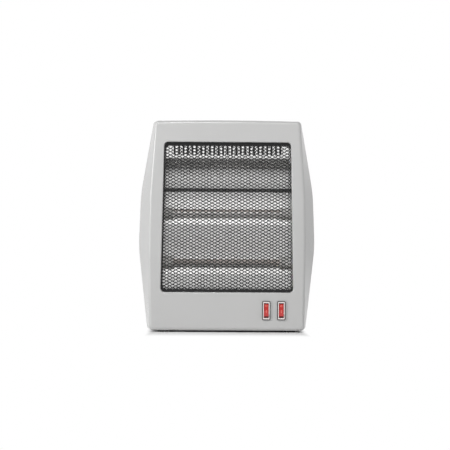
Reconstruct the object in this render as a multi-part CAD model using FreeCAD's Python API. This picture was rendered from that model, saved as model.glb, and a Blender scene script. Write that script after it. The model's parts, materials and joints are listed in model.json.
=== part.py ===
import FreeCAD, Part
import math
import os

Vector = FreeCAD.Vector

# General fits, in millimetres
overrun = 2.0
running_clearance = 0.05
loose_clearance = 0.3
match_tolerance = 0.001

# Case: a front frame and a rear shell that meet at a parting plane
foot_height = 3.0
front_depth = 42.0
rear_depth = 80.0
case_wall = 2.5
face_wall = 3.0
front_bottom_half = 126.0
front_lower_bulge = 0.7
front_upper_taper = 0.7
front_taper = 8.0
belly_bottom_flare = 4.0
belly_lower_flare = 17.9
belly_upper_flare = 16.0
belly_top_flare = 3.2
rear_bottom_inset = 17.0
rear_side_inset = 24.0
rear_top_inset = 17.0
rear_drop = 27.0
lower_shoulder_share = 0.4
upper_shoulder_share = 0.655
shoulder_round = 250.0
arch_rise = 1.7
arch_reach_share = 0.48
front_low_corner = 6.5
front_high_corner = 5.5
belly_low_corner = 5.0
belly_high_corner = 3.2
rear_corner = 8.0
front_edge_round = 5.0
rear_edge_round = 7.5
parting_groove_width = 0.8
parting_groove_depth = 0.7

# Window in the front frame, with a rim that runs back
top_border = 36.0
bottom_border = 65.0
side_border_top = 15.0
side_border_bottom = 18.0
window_corner = 6.5
rim_wall = 2.0
rim_depth = 11.0
rim_edge_round = 1.6

# Expanded-metal guard
guard_setback = 6.0
guard_fit = 0.4
guard_sheet = 0.8
guard_side_gap = 3.3
guard_top_gap = 5.0
guard_bottom_gap = 4.0
guard_flange_margin = 3.0
guard_flange = 12.0
guard_hem = 3.0
guard_strand = 2.4
guard_columns = 9
guard_rows = 16
clip_height = 9.0
clip_depth = 7.0
clip_end_margin = 24.0

# End plates that carry the sheets and the tubes
plate_sheet = 0.8
plate_inset = 2.0
plate_front_gap = 1.0
plate_depth = 52.0
plate_flange = 10.0
plate_top_margin = 0.6
plate_bottom_margin = 1.0
plate_hole_margin = 26.0

# Vent panel: upright strip with slots, then a sloping sheet
sheet = 0.6
vent_front_depth = 22.0
vent_top_margin = 2.6
vent_return = 12.0
vent_strip_height = 23.2
vent_slope_height = 48.5
vent_slope_depth = 26.0
vent_roll_drop = 17.0
vent_roll_depth = 24.0
vent_roll_round = 26.0
vent_bend_round = 1.5
slot_count = 25
slot_pitch = 7.2
slot_width = 3.3
slot_height = 15.6
slot_top_margin = 2.2

# Reflector: two troughs, each with a long upper face and a short lower face
trough_lip_depth = 44.0
trough_back_depth = 49.5
trough_upper_depth = 48.5
trough_lower_depth = 47.0
lip_flange_height = 29.0
trough_pitch = 81.5
lower_face_height = 13.0
trough_back_height = 24.0
upper_sheet_height = 53.0
crease_gap = 6.2
upper_sheet_depth = 50.5
trough_back_round = 9.0
trough_lip_round = 1.2
lip_flange_bottom_gap = 1.0

# Quartz tubes, their coils, ceramic ends and terminals
tube_depth = 38.0
tube_rise = 19.3
tube_outer = 5.5
tube_wall = 0.8
tube_socket = 9.0
ceramic_radius = 7.7
ceramic_reach = 18.0
ceramic_neck = 6.0
ceramic_neck_length = 5.0
ceramic_edge = 0.8
stud_radius = 1.5
stud_reach = 9.0
stud_head_radius = 4.2
stud_head_length = 3.0
nut_across = 5.5
nut_height = 2.4
coil_radius = 3.0
coil_wire = 0.5
coil_turns = 46

# Rocker switches
switch_side_margin = 37.5
switch_pitch = 24.5
switch_top_margin = 29.0
bezel_width = 12.2
bezel_height = 29.6
bezel_proud = 2.0
bezel_corner = 1.4
bezel_recess = 1.2
bezel_gap = 0.8
housing_width = 10.6
housing_height = 26.8
housing_depth = 20.0
cutout_clearance = 0.2
rocker_width = 7.5
rocker_radius = 11.8
rocker_pivot_depth = 3.0
rocker_dish = 1.2
rocker_tilt_deg = 8.0
rocker_skirt_deg = 20.0
rocker_keel = 5.5
rocker_pin_radius = 1.2
rocker_pin_length = 0.9
pocket_floor_gap = 1.5
tab_width = 4.8
tab_sheet = 0.8
tab_length = 8.0
tab_offset = 8.0

# Screw posts that join the two halves of the case
post_radius = 5.0
post_lower_margin = 20.0
post_lower_z = 24.0
post_upper_margin = 28.0
post_upper_drop = 19.0
post_floor = 4.0
screw_radius = 1.9
screw_bite = 18.0
screw_head_radius = 3.6
screw_head_height = 2.6
driver_slot = 0.9

# Bosses that carry the end plates' flanges
boss_radius = 4.0
boss_screw_radius = 1.5
boss_screw_bite = 7.0
boss_screw_head_radius = 3.0
boss_screw_head_height = 2.0

# Vents, hand grip and cable inlet in the rear shell
rear_vent_rows = 13
rear_vent_pitch = 12.0
rear_vent_height = 4.0
rear_vent_half = 34.0
rear_vent_centre_x = 42.0
rear_vent_first_z = 82.0
grip_half = 50.0
grip_top_margin = 28.0
grip_height = 28.0
grip_depth = 25.0
grip_round = 6.0
gland_side_margin = 48.0
gland_z = 34.0
gland_bore = 4.2
gland_barrel = 6.5
gland_flange = 9.5
gland_flange_length = 5.0
gland_barrel_length = 12.0
gland_edge = 1.5
gland_nut_radius = 10.0
gland_nut_length = 4.0

# Feet
foot_radius = 9.0
foot_stem = 3.0
foot_edge = 0.8
foot_front_depth = 22.0
foot_rear_depth = 102.0
foot_side_margin = 22.0
foot_rear_inset = 8.0

# Tip-over cut-out
tip_x = -60.0
tip_setback = 36.0
tip_travel = 5.0
plunger_radius = 4.0
plunger_flange = 6.0
plunger_flange_height = 2.0
plunger_stem = 2.5
tip_housing_radius = 9.0
tip_housing_roof = 2.0
tip_spring_room = 11.0
tip_spring_radius = 4.4
tip_spring_wire = 0.35
tip_spring_turns = 6
microswitch_length = 20.0
microswitch_width = 6.4
microswitch_height = 10.2
microswitch_button = 1.0
microswitch_button_radius = 1.1
microswitch_gap = 4.0
tip_bracket_sheet = 2.0
microswitch_tab_spacing = 7.0

# Disc thermostat on the left end plate
cutout_radius = 8.0
cutout_length = 9.0
cutout_flange = 11.0
cutout_flange_sheet = 1.0
cutout_depth = 40.0
cutout_z = 88.0
cutout_tab_length = 5.0

# Terminal block
block_x = 40.0
block_rear_gap = 26.0
block_pitch = 9.0
block_ways = 3
block_width = 14.0
block_height = 15.0
block_lead_sunk = 5.0
block_screw_radius = 1.7
block_screw_sunk = 6.0

# Internal leads: radius, and the points between their ends as (x, depth, z), where the points
# of a side route give the gap outside an end plate in place of x, and ahead is measured from
# the tip-over plunger to the front. A turn starts with the gap to the lower screw post
lead_radius = 1.3
lead_bend = 14.0
run_share = 0.45
lower_drop_depth = 42.0
upper_drop_depth = 52.0
live_ahead = (22.0, 26.0)
live_turn_x = -30.0
cutout_ahead = 28.0
cutout_side_route = [(11.2, 50.0, 36.2), (22.2, 44.8, 66.0), (22.2, 44.8, 88.0)]
feed_side_route = [(22.2, 35.2, 88.0), (19.2, 35.2, 60.0), (9.2, 38.0, 40.0)]
feed_ahead = (36.0, 32.0)
feed_turn = (32.0, 15.0)
feed_end = (34.0, 15.0)
feed_drop_depth = 46.0
lower_side_route = [(7.2, 42.0, 50.0), (19.2, 38.0, 75.0)]
upper_side_route = [(1.2, 56.0, 44.0), (15.2, 56.0, 62.0), (25.2, 50.0, 120.0)]
lower_neutral_ahead = (17.0, 18.0)
lower_neutral_turn = (34.0, 12.0)
lower_neutral_side_route = [(3.2, 57.0, 46.0), (19.2, 52.0, 80.0)]
upper_neutral_ahead = (12.0, 13.0)
upper_neutral_turn = (32.0, 12.0)
upper_neutral_side_route = [(5.2, 64.0, 46.0), (19.2, 62.0, 90.0), (24.2, 50.0, 150.0)]
stud_lead_gap = 24.2
link_width = 4.0

# Places worked out from the sizes above
parting_depth = front_depth
total_depth = front_depth + rear_depth
tip_depth = parting_depth + tip_setback
block_depth = total_depth - block_rear_gap
tilt = math.radians(rocker_tilt_deg)
dish_slope = math.tan(tilt)
inner_z = foot_height + case_wall
lower_lip_z = bottom_border + lip_flange_height
reflector_top_z = lower_lip_z + trough_pitch + upper_sheet_height
vent_bend_z = reflector_top_z + crease_gap + vent_slope_height
window_top_z = vent_bend_z + vent_strip_height + vent_top_margin
case_height = window_top_z + top_border
lower_shoulder_z = case_height * lower_shoulder_share
upper_shoulder_z = case_height * upper_shoulder_share
front_top_half = front_bottom_half - front_taper
window_bottom_z = bottom_border
window_top_half = front_top_half - side_border_top
window_bottom_half = front_bottom_half - side_border_bottom
plate_inner_x = window_bottom_half - plate_inset
plate_outer_x = plate_inner_x + plate_sheet
plate_front_depth = rim_depth + plate_front_gap
plate_top_z = window_top_z - plate_top_margin
plate_bottom_z = window_bottom_z + plate_bottom_margin
tube_levels = {
    "lower": lower_lip_z + tube_rise,
    "upper": lower_lip_z + trough_pitch + tube_rise,
}
sides = {"left": -1, "right": 1}
ceramic_inner_x = plate_inner_x - ceramic_reach
socket_floor_x = ceramic_inner_x + tube_socket
stud_head_inner_x = socket_floor_x - stud_head_length
switch_z = bottom_border - switch_top_margin
right_switch_x = front_bottom_half - switch_side_margin
switch_places = {"left": right_switch_x - switch_pitch, "right": right_switch_x}
front_section = {
    "bottom": front_bottom_half,
    "lower": front_bottom_half + front_lower_bulge,
    "upper": front_bottom_half - front_upper_taper,
    "top": front_top_half,
    "top_z": case_height,
    "low_corner": front_low_corner,
    "high_corner": front_high_corner,
}
belly_section = {
    "bottom": front_section["bottom"] + belly_bottom_flare,
    "lower": front_section["lower"] + belly_lower_flare,
    "upper": front_section["upper"] + belly_upper_flare,
    "top": front_section["top"] + belly_top_flare,
    "top_z": case_height,
    "low_corner": belly_low_corner,
    "high_corner": belly_high_corner,
}
rear_section = {
    "bottom": belly_section["bottom"] - rear_bottom_inset,
    "lower": belly_section["lower"] - rear_side_inset,
    "upper": belly_section["upper"] - rear_side_inset,
    "top": belly_section["top"] - rear_top_inset,
    "top_z": case_height - rear_drop,
    "low_corner": rear_corner,
    "high_corner": rear_corner,
}
post_lower_x = front_bottom_half - post_lower_margin
post_upper_x = front_top_half - post_upper_margin
post_places = [
    (side * x, z)
    for x, z in ((post_lower_x, post_lower_z), (post_upper_x, case_height - post_upper_drop))
    for side in sides.values()
]
grip_low_z = case_height - rear_drop - grip_top_margin - grip_height
gland_x = front_bottom_half - gland_side_margin
foot_x = front_bottom_half - foot_side_margin
foot_rear_x = foot_x - foot_rear_inset
foot_places = {
    "front_left": (-foot_x, foot_front_depth),
    "front_right": (foot_x, foot_front_depth),
    "rear_left": (-foot_rear_x, foot_rear_depth),
    "rear_right": (foot_rear_x, foot_rear_depth),
}
boss_x = plate_outer_x + plate_flange / 2
boss_levels = (plate_bottom_z + plate_hole_margin, plate_top_z - plate_hole_margin)


def dish_tip():
    # Where the dished front of the rocker meets its round end, before it is tilted
    dish = bezel_proud + rocker_pivot_depth - rocker_dish
    root = math.sqrt(rocker_radius ** 2 * (1 + dish_slope ** 2) - dish ** 2)
    height = (root - dish * dish_slope) / (1 + dish_slope ** 2)
    return dish + height * dish_slope, height


def rocker_reach():
    # How far the raised end of the rocker stands out from the pivot at rest
    forward, height = dish_tip()
    return forward * math.cos(tilt) + height * math.sin(tilt)


rocker_proud = max(bezel_proud, rocker_reach() - rocker_pivot_depth)
front_y = (rocker_proud - total_depth - gland_flange_length) / 2


def point(x, depth, z):
    return Vector(x, front_y + depth, z)


def box(x_range, depth_range, z_range):
    size_x = x_range[1] - x_range[0]
    size_y = depth_range[1] - depth_range[0]
    size_z = z_range[1] - z_range[0]
    return Part.makeBox(size_x, size_y, size_z, point(x_range[0], depth_range[0], z_range[0]))


def rod_x(x_range, depth, z, radius):
    low, high = sorted(x_range)
    return Part.makeCylinder(radius, high - low, point(low, depth, z), Vector(1, 0, 0))


def rod_y(x, depth_range, z, radius):
    length = depth_range[1] - depth_range[0]
    return Part.makeCylinder(radius, length, point(x, depth_range[0], z), Vector(0, 1, 0))


def rod_z(x, depth, z_range, radius):
    return Part.makeCylinder(radius, z_range[1] - z_range[0], point(x, depth, z_range[0]))


def corner_arc(before, corner, after, radius):
    # Start, middle and end of the arc that rounds one corner
    to_before = (before - corner).normalize()
    to_after = (after - corner).normalize()
    half_angle = to_before.getAngle(to_after) / 2
    reach = radius / math.tan(half_angle)
    bisector = (to_before + to_after).normalize()
    middle = corner + bisector * (radius / math.sin(half_angle) - radius)
    return corner + to_before * reach, middle, corner + to_after * reach


def rounded_loop(corners, rounds):
    # Closed wire of straight runs and corner arcs
    count = len(corners)
    arcs = []
    for index in range(count):
        after = corners[(index + 1) % count]
        arcs.append(corner_arc(corners[index - 1], corners[index], after, rounds[index]))
    edges = []
    for index in range(count):
        edges.append(Part.Arc(*arcs[index]).toShape())
        edges.append(Part.LineSegment(arcs[index][2], arcs[(index + 1) % count][0]).toShape())
    return Part.Wire(edges)


def rounded_path(points, rounds):
    # Open wire of straight runs and corner arcs
    edges = []
    start = points[0]
    for index in range(1, len(points) - 1):
        arc = corner_arc(points[index - 1], points[index], points[index + 1], rounds[index - 1])
        edges.append(Part.LineSegment(start, arc[0]).toShape())
        edges.append(Part.Arc(*arc).toShape())
        start = arc[2]
    edges.append(Part.LineSegment(start, points[-1]).toShape())
    return Part.Wire(edges)


def end_edges(solid, depth):
    # Edges of a solid that lie at one depth
    y = front_y + depth
    return [e for e in solid.Edges if all(abs(v.Y - y) < match_tolerance for v in e.Vertexes)]


def case_outline(section, depth, inset):
    side = [
        (section["bottom"] - inset, foot_height + inset),
        (section["lower"] - inset, lower_shoulder_z),
        (section["upper"] - inset, upper_shoulder_z),
        (section["top"] - inset, section["top_z"] - arch_rise - inset),
    ]
    corners = [point(half, depth, z) for half, z in side]
    corners.append(point(0, depth, section["top_z"] - inset))
    corners += [point(-half, depth, z) for half, z in reversed(side)]
    up = [section["low_corner"] - inset, shoulder_round, shoulder_round, section["high_corner"] - inset]
    arch_round = arch_reach_share * section["top"] ** 2 / arch_rise
    return rounded_loop(corners, up + [arch_round] + up[::-1])


def case_body(first, first_depth, second, second_depth, inset):
    wires = [case_outline(first, first_depth, inset), case_outline(second, second_depth, inset)]
    return Part.makeLoft(wires, True, True)


def window_wire(depth, grow):
    low = window_bottom_z - grow
    high = window_top_z + grow
    corners = [
        point(-window_bottom_half - grow, depth, low),
        point(window_bottom_half + grow, depth, low),
        point(window_top_half + grow, depth, high),
        point(-window_top_half - grow, depth, high),
    ]
    return rounded_loop(corners, [window_corner + grow] * 4)


def prism(wire, length):
    return Part.Face(wire).extrude(Vector(0, length, 0))


def parting_groove():
    # Ring that leaves a shadow gap round the frame where it meets the shell
    depth = parting_depth - parting_groove_width
    length = parting_groove_width + overrun
    outside = prism(case_outline(belly_section, depth, -overrun), length)
    return outside.cut(prism(case_outline(belly_section, depth, parting_groove_depth), length))


def front_frame():
    outer = case_body(front_section, 0, belly_section, parting_depth, 0)
    outer = outer.makeFillet(front_edge_round, end_edges(outer, 0))
    inner = case_body(front_section, face_wall, belly_section, parting_depth, case_wall)
    frame = outer.cut([inner, parting_groove()])
    rim = prism(window_wire(face_wall / 2, rim_wall), rim_depth - face_wall / 2)
    additions = [rim]
    for x, z in post_places:
        additions.append(rod_y(x, (face_wall / 2, parting_depth), z, post_radius))
    for side in sides.values():
        for z in boss_levels:
            additions.append(rod_y(side * boss_x, (face_wall / 2, plate_front_depth), z, boss_radius))
    frame = frame.fuse(additions)
    cuts = [prism(window_wire(-overrun, 0), rim_depth + overrun * 2)]
    screw_run = (parting_depth - screw_bite - overrun, parting_depth + overrun)
    for x, z in post_places:
        cuts.append(rod_y(x, screw_run, z, screw_radius))
    for side in sides.values():
        for z in boss_levels:
            bite = (plate_front_depth - boss_screw_bite, plate_front_depth + overrun)
            cuts.append(rod_y(side * boss_x, bite, z, boss_screw_radius))
    half_width = housing_width / 2 + cutout_clearance
    half_height = housing_height / 2 + cutout_clearance
    for x in switch_places.values():
        z_range = (switch_z - half_height, switch_z + half_height)
        cuts.append(box((x - half_width, x + half_width), (-overrun, face_wall + overrun), z_range))
        cuts.append(prism(bezel_wire(x, -overrun, bezel_gap), overrun + bezel_recess))
    for name in ("front_left", "front_right"):
        cuts.append(foot_hole(name))
    frame = frame.cut(cuts)
    rim_edges = []
    for edge in end_edges(frame, 0):
        box_z = edge.BoundBox
        if box_z.ZMin > window_bottom_z - rim_wall and box_z.ZMax < window_top_z + rim_wall:
            rim_edges.append(edge)
    return frame.makeFillet(rim_edge_round, rim_edges)


def rear_shell():
    outer = case_body(belly_section, parting_depth, rear_section, total_depth, 0)
    outer = outer.makeFillet(rear_edge_round, end_edges(outer, total_depth))
    inner = case_body(belly_section, parting_depth, rear_section, total_depth - case_wall, case_wall)
    inner = inner.makeFillet(rear_edge_round - case_wall, end_edges(inner, total_depth - case_wall))
    shell = outer.cut(inner)
    grip_high_z = grip_low_z + grip_height
    additions = [
        box(
            (-grip_half - case_wall, grip_half + case_wall),
            (total_depth - grip_depth - case_wall, total_depth - case_wall / 2),
            (grip_low_z - case_wall, grip_high_z + case_wall),
        )
    ]
    for x, z in post_places:
        additions.append(rod_y(x, (parting_depth, total_depth), z, post_radius).common(outer))
    shell = shell.fuse(additions)
    grip_run = (total_depth - grip_depth, total_depth + overrun)
    grip = box((-grip_half, grip_half), grip_run, (grip_low_z, grip_high_z))
    grip_edges = []
    for edge in grip.Edges:
        if edge.BoundBox.YLength > grip_depth / 2:
            grip_edges.append(edge)
    cuts = [grip.makeFillet(grip_round, grip_edges)]
    for x, z in post_places:
        hole_radius = screw_radius + running_clearance
        head_room = screw_head_radius + loose_clearance
        cuts.append(rod_y(x, (parting_depth - overrun, total_depth), z, hole_radius))
        cuts.append(rod_y(x, (parting_depth + post_floor, total_depth + overrun), z, head_room))
    wall_run = (total_depth - case_wall - overrun, total_depth + overrun)
    for row in range(rear_vent_rows):
        low = rear_vent_first_z + row * rear_vent_pitch
        for side in sides.values():
            centre = side * rear_vent_centre_x
            x_range = (centre - rear_vent_half, centre + rear_vent_half)
            cuts.append(box(x_range, wall_run, (low, low + rear_vent_height)))
    cuts.append(rod_y(gland_x, wall_run, gland_z, gland_barrel + running_clearance))
    plunger_hole = plunger_radius + running_clearance
    cuts.append(rod_z(tip_x, tip_depth, (foot_height - overrun, inner_z + overrun), plunger_hole))
    for name in ("rear_left", "rear_right"):
        cuts.append(foot_hole(name))
    return shell.cut(cuts)


def foot_hole(name):
    x, depth = foot_places[name]
    return rod_z(x, depth, (foot_height - overrun, inner_z + overrun), foot_stem + running_clearance)


def foot(name):
    x, depth = foot_places[name]
    pad = rod_z(x, depth, (0, foot_height), foot_radius)
    low_edges = [e for e in pad.Edges if e.BoundBox.ZMax < match_tolerance]
    pad = pad.makeFillet(foot_edge, low_edges)
    return pad.fuse(rod_z(x, depth, (foot_height, inner_z), foot_stem))


def guard_half(z, grow):
    # Half-width of the guard at one height, from the slant of the window's sides
    rise = (z - window_bottom_z) / (window_top_z - window_bottom_z)
    window_half = window_bottom_half + (window_top_half - window_bottom_half) * rise
    return window_half - guard_side_gap + grow


def diamond(x, z, half_x, half_z, depth):
    tips = [point(x - half_x, depth, z), point(x, depth, z - half_z), point(x + half_x, depth, z)]
    tips.append(point(x, depth, z + half_z))
    return Part.makePolygon(tips + tips[:1])


def mesh_guard():
    outer = window_wire(guard_setback, -guard_fit)
    low = window_bottom_z + guard_bottom_gap + guard_hem
    high = window_top_z - guard_top_gap - guard_hem
    row_pitch = (high - low) / guard_rows
    holes = []
    for row in range(2 * guard_rows - 1):
        z = low + (row + 1) * row_pitch / 2
        column_pitch = 2 * guard_half(z, -guard_hem) / guard_columns
        count = guard_columns - row % 2
        for column in range(count):
            x = (column - (count - 1) / 2) * column_pitch
            slack_x = guard_strand * column_pitch / row_pitch / 2
            half_x = (column_pitch - slack_x) / 2
            half_z = (row_pitch - guard_strand / 2) / 2
            holes.append(diamond(x, z, half_x, half_z, guard_setback))
    face = Part.makeFace([outer] + holes, "Part::FaceMakerBullseye")
    panel = face.extrude(Vector(0, guard_sheet, 0))
    flanges = []
    for side in sides.values():
        flanges.append(guard_flange_plate(side, 0, guard_sheet))
    return panel.fuse(flanges)


def guard_flange_plate(side, outward, thickness):
    # Upright plate along one slanted edge of the guard, running back from its face
    low = window_bottom_z + guard_bottom_gap + guard_flange_margin
    high = window_top_z - guard_top_gap - guard_flange_margin
    return slanted_plate(side, low, high, outward, thickness, (guard_setback, guard_setback + guard_flange))


def slanted_plate(side, low, high, outward, thickness, depth_range):
    corners = [
        point(side * guard_half(low, outward), depth_range[0], low),
        point(side * guard_half(high, outward), depth_range[0], high),
        point(side * guard_half(high, outward - thickness), depth_range[0], high),
        point(side * guard_half(low, outward - thickness), depth_range[0], low),
    ]
    return prism(Part.makePolygon(corners + corners[:1]), depth_range[1] - depth_range[0])


def guard_clips():
    # Clips that fill the wedge between the guard's flanges and the end plates
    clips = []
    back = guard_setback + guard_flange
    for side in sides.values():
        for low in (plate_bottom_z + clip_end_margin, plate_top_z - clip_end_margin - clip_height):
            high = low + clip_height
            corners = [
                point(side * guard_half(low, 0), back - clip_depth, low),
                point(side * plate_inner_x, back - clip_depth, low),
                point(side * plate_inner_x, back - clip_depth, high),
                point(side * guard_half(high, 0), back - clip_depth, high),
            ]
            clips.append(prism(Part.makePolygon(corners + corners[:1]), clip_depth + plate_front_gap))
    return Part.makeCompound(clips)


def shifted_path(points, rounds, shift):
    # The same bent path, moved sideways by a signed distance, with its bends kept concentric
    along_x = Vector(1, 0, 0)
    ways = []
    for index in range(len(points) - 1):
        ways.append((points[index + 1] - points[index]).normalize())
    moved = [points[0] + along_x.cross(ways[0]) * shift]
    moved_rounds = []
    for index in range(1, len(points) - 1):
        normals = along_x.cross(ways[index - 1]) + along_x.cross(ways[index])
        share = 2 / normals.dot(normals)
        moved.append(points[index] + normals * (share * shift))
        turn = ways[index - 1].cross(ways[index]).x
        moved_rounds.append(rounds[index - 1] - shift * math.copysign(1, turn))
    moved.append(points[-1] + along_x.cross(ways[-1]) * shift)
    return moved, moved_rounds


def folded_sheet(points, rounds):
    # Bent sheet that spans between the end plates
    near, near_rounds = shifted_path(points, rounds, sheet / 2)
    far, far_rounds = shifted_path(points, rounds, -sheet / 2)
    edges = rounded_path(near, near_rounds).Edges + rounded_path(far, far_rounds).Edges
    edges.append(Part.LineSegment(near[0], far[0]).toShape())
    edges.append(Part.LineSegment(near[-1], far[-1]).toShape())
    profile = Part.Wire(Part.__sortEdges__(edges))
    return Part.Face(profile).extrude(Vector(plate_inner_x * 2, 0, 0))


def vent_panel():
    x = -plate_inner_x
    top_z = window_top_z - vent_top_margin
    points = [
        point(x, vent_front_depth + vent_return, top_z),
        point(x, vent_front_depth, top_z),
        point(x, vent_front_depth, vent_bend_z),
        point(x, vent_front_depth + vent_roll_depth, vent_bend_z - vent_roll_drop),
        point(x, vent_front_depth + vent_slope_depth, vent_bend_z - vent_slope_height),
    ]
    panel = folded_sheet(points, [vent_bend_round, vent_bend_round, vent_roll_round])
    slots = []
    high = top_z - slot_top_margin
    depth_range = (vent_front_depth - overrun, vent_front_depth + overrun)
    for index in range(slot_count):
        x = (index - (slot_count - 1) / 2) * slot_pitch
        slots.append(box((x - slot_width / 2, x + slot_width / 2), depth_range, (high - slot_height, high)))
    return panel.cut(slots)


def trough_points(lip_z):
    # Lip, lower face, back and upper face of one trough, going up
    x = -plate_inner_x
    lower_z = lip_z + lower_face_height
    return [
        point(x, trough_lip_depth, lip_z),
        point(x, trough_lower_depth, lower_z),
        point(x, trough_back_depth, lower_z + trough_back_height / 2),
        point(x, trough_upper_depth, lower_z + trough_back_height),
    ]


def reflector():
    x = -plate_inner_x
    upper_lip_z = lower_lip_z + trough_pitch
    lower = trough_points(lower_lip_z)
    upper = trough_points(upper_lip_z)[:3]
    flange_low = point(x, trough_lip_depth, window_bottom_z + lip_flange_bottom_gap)
    top_edge = point(x, upper_sheet_depth, reflector_top_z)
    points = [flange_low] + lower + upper + [top_edge]
    back = trough_back_round
    rounds = [trough_lip_round, back, back, back, trough_lip_round, back, back]
    return folded_sheet(points, rounds)


def end_plate(side):
    inner = side * plate_inner_x
    outer = side * plate_outer_x
    x_range = tuple(sorted((inner, outer)))
    back = plate_front_depth + plate_depth
    plate = box(x_range, (plate_front_depth, back), (plate_bottom_z, plate_top_z))
    flange_x = tuple(sorted((inner, outer + side * plate_flange)))
    flange_run = (plate_front_depth, plate_front_depth + plate_sheet)
    plate = plate.fuse(box(flange_x, flange_run, (plate_bottom_z, plate_top_z)))
    cuts = []
    neck_hole = ceramic_neck + running_clearance
    for z in tube_levels.values():
        cuts.append(rod_x((inner - overrun, outer + overrun), tube_depth, z, neck_hole))
    for z in boss_levels:
        hole = boss_screw_radius + running_clearance
        cuts.append(rod_y(side * boss_x, (rim_depth, plate_front_depth + plate_sheet + overrun), z, hole))
    return plate.cut(cuts)


def ceramic(side, z):
    inner = side * ceramic_inner_x
    shoulder = side * plate_inner_x
    neck_end = side * (plate_outer_x + ceramic_neck_length)
    body = rod_x((inner, shoulder), tube_depth, z, ceramic_radius)
    rim = [e for e in body.Edges if abs(e.CenterOfMass.x - inner) < match_tolerance]
    body = body.makeFillet(ceramic_edge, rim)
    body = body.fuse(rod_x((shoulder, neck_end), tube_depth, z, ceramic_neck))
    socket_run = (inner - side * overrun, side * socket_floor_x)
    socket = rod_x(socket_run, tube_depth, z, tube_outer + running_clearance)
    stud_hole = rod_x((inner, neck_end + side * overrun), tube_depth, z, stud_radius + running_clearance)
    return body.cut([socket, stud_hole])


def quartz_tube(z):
    x_range = (-socket_floor_x, socket_floor_x)
    bore = rod_x(x_range, tube_depth, z, tube_outer - tube_wall)
    return rod_x(x_range, tube_depth, z, tube_outer).cut(bore)


def hexagon(x, z, across, length, side):
    # Hexagonal nut on an axis along X
    radius = across / math.sqrt(3)
    corners = []
    for index in range(6):
        angle = index * math.pi / 3
        corners.append(point(x, tube_depth + radius * math.cos(angle), z + radius * math.sin(angle)))
    return Part.Face(Part.makePolygon(corners + corners[:1])).extrude(Vector(side * length, 0, 0))


def tube_terminals():
    # Stud with a head inside the tube and a nut outside the ceramic, at each tube end
    terminals = []
    for z in tube_levels.values():
        for side in sides.values():
            head = (side * stud_head_inner_x, side * socket_floor_x)
            neck_end = plate_outer_x + ceramic_neck_length
            stud = (side * socket_floor_x, side * (neck_end + stud_reach))
            solid = rod_x(head, tube_depth, z, stud_head_radius).fuse(rod_x(stud, tube_depth, z, stud_radius))
            terminals.append(solid.fuse(hexagon(side * neck_end, z, nut_across, nut_height, side)))
    return Part.makeCompound(terminals)


def tangent_arc(start, corner, end):
    # Arc between two points that touches both lines to the corner between them
    middle = (start + end) / 2
    half_chord = (end - start).Length / 2
    height = (corner - middle).Length
    turn = math.atan2(height, half_chord)
    crown = middle + (corner - middle).normalize() * (half_chord * math.tan(turn / 2))
    return Part.Arc(start, crown, end).toShape()


def biarc(start, start_way, end, end_way):
    # Two arcs that leave and arrive along the given directions
    chord = end - start
    ways = start_way + end_way
    square = ways.dot(ways) - 4
    across = chord.dot(ways)
    reach = (across - math.sqrt(across ** 2 - square * chord.dot(chord))) / square
    near = start + start_way * reach
    far = end - end_way * reach
    joint = (near + far) / 2
    return [tangent_arc(start, near, joint), tangent_arc(joint, far, end)]


def helix_wire(start, axis, across, radius, rise, turns, stub):
    # Unbroken winding about an axis, with a straight stub at each end, on half-turn biarcs
    up = axis.cross(across)
    lean = rise / (2 * math.pi * radius)
    places = []
    ways = []
    for index in range(2 * turns + 1):
        angle = index * math.pi
        spoke = across * math.cos(angle) + up * math.sin(angle)
        round_way = up * math.cos(angle) - across * math.sin(angle)
        places.append(start + spoke * radius + axis * (rise * index / 2))
        ways.append((round_way + axis * lean).normalize())
    edges = [Part.LineSegment(places[0] - ways[0] * stub, places[0]).toShape()]
    for index in range(2 * turns):
        edges += biarc(places[index], ways[index], places[index + 1], ways[index + 1])
    edges.append(Part.LineSegment(places[-1], places[-1] + ways[-1] * stub).toShape())
    return Part.Wire(edges), places[0] - ways[0] * stub, ways[0]


def winding(start, axis, across, radius, wire, rise, turns):
    path, first, way = helix_wire(start, axis, across, radius, rise, turns, wire * 2)
    profile = Part.Wire(Part.makeCircle(wire, first, way))
    print("least gap between turns", round(rise - 2 * wire, 3))
    return path.makePipeShell([profile], True, False)


def heating_coil(z):
    room = 2 * (stud_head_inner_x - coil_wire * 2)
    start = point(-room / 2, tube_depth, z)
    rise = room / coil_turns
    return winding(start, Vector(1, 0, 0), Vector(0, 0, 1), coil_radius, coil_wire, rise, coil_turns)


def bezel_wire(x, depth, grow):
    half_width = bezel_width / 2 + grow
    half_height = bezel_height / 2 + grow
    corners = [
        point(x - half_width, depth, switch_z - half_height),
        point(x + half_width, depth, switch_z - half_height),
        point(x + half_width, depth, switch_z + half_height),
        point(x - half_width, depth, switch_z + half_height),
    ]
    return rounded_loop(corners, [bezel_corner + grow] * 4)


def switch_body(x):
    bezel = prism(bezel_wire(x, -bezel_proud, 0), bezel_proud + bezel_recess)
    housing_x = (x - housing_width / 2, x + housing_width / 2)
    housing_z = (switch_z - housing_height / 2, switch_z + housing_height / 2)
    body = bezel.fuse(box(housing_x, (bezel_recess, housing_depth), housing_z))
    half_width = rocker_width / 2 + loose_clearance
    half_height = rocker_radius + loose_clearance
    floor = rocker_pivot_depth + rocker_radius * math.sin(math.radians(rocker_skirt_deg) + tilt * 2)
    pocket_z = (switch_z - half_height, switch_z + half_height)
    pocket_run = (-bezel_proud - overrun, floor + pocket_floor_gap)
    pocket = box((x - half_width, x + half_width), pocket_run, pocket_z)
    pin_reach = rocker_width / 2 + rocker_pin_length + loose_clearance
    pin_hole = rod_x(
        (x - pin_reach, x + pin_reach), rocker_pivot_depth, switch_z, rocker_pin_radius + running_clearance
    )
    return body.cut([pocket, pin_hole])


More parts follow.
